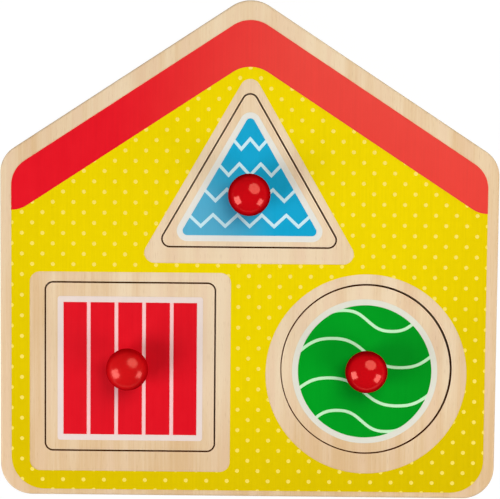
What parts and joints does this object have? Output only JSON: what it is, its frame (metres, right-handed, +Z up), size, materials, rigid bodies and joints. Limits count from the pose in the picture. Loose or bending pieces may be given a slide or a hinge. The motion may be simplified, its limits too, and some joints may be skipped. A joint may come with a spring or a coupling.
{
  "type": "wooden knob puzzle",
  "caption": "House-shaped wooden board puzzle with printed walls and roof, and a triangle, a square and a round piece that lift out of their recesses by red turned knobs.",
  "frame": {"origin": "middle of the board's outline, on the underside that it lies on", "axes": "+Z up through the thickness, out of the printed face; +Y towards the gable; +X to the right of the printed picture"},
  "size_m": [0.22, 0.22, 0.0244],
  "materials": {
    "plywood": "pale fine-grained veneer, smooth sanded, clear matt varnish",
    "yellow_ink": "opaque screen-printed ink with a faint sheen, wood grain just showing through",
    "red_ink": "opaque screen-printed ink with a faint sheen, wood grain just showing through",
    "white_ink": "opaque screen-printed ink",
    "blue_ink": "opaque screen-printed ink",
    "green_ink": "opaque screen-printed ink",
    "red_lacquer": "turned hardwood under glossy red lacquer",
    "zinc_steel": "zinc-plated countersunk screw"
  },
  "bodies": {
    "board": {"back_board": "plywood", "front_board": "plywood", "wall_print": "yellow_ink", "roof_print": "red_ink"},
    "triangle": {"triangle_piece": "plywood", "triangle_white_print": "white_ink", "triangle_blue_band_1": "blue_ink", "triangle_blue_band_2": "blue_ink", "triangle_blue_band_3": "blue_ink", "triangle_blue_band_4": "blue_ink", "triangle_blue_band_5": "blue_ink", "triangle_knob": "red_lacquer", "triangle_screw": "zinc_steel"},
    "square": {"square_piece": "plywood", "square_white_print": "white_ink", "square_red_bar_1": "red_ink", "square_red_bar_2": "red_ink", "square_red_bar_3": "red_ink", "square_red_bar_4": "red_ink", "square_red_bar_5": "red_ink", "square_knob": "red_lacquer", "square_screw": "zinc_steel"},
    "circle_lifter": {"circle_screw": "zinc_steel"},
    "circle": {"circle_piece": "plywood", "circle_white_print": "white_ink", "circle_green_field_1": "green_ink", "circle_green_field_2": "green_ink", "circle_green_field_3": "green_ink", "circle_green_field_4": "green_ink", "circle_green_field_5": "green_ink", "circle_knob": "red_lacquer"}
  },
  "joints": [
    {"name": "triangle_lift", "type": "slide", "parent": "board", "child": "triangle", "axis": [0, 0, 1], "range_m": [0, 0.04]},
    {"name": "square_lift", "type": "slide", "parent": "board", "child": "square", "axis": [0, 0, 1], "range_m": [0, 0.04]},
    {"name": "circle_lift", "type": "slide", "parent": "board", "child": "circle_lifter", "axis": [0, 0, 1], "range_m": [0, 0.04]},
    {"name": "circle_turn", "type": "hinge", "parent": "circle_lifter", "child": "circle", "pos_m": [0.05217, -0.05226, 0.009], "axis": [0, 0, 1], "continuous": true}
  ]
}
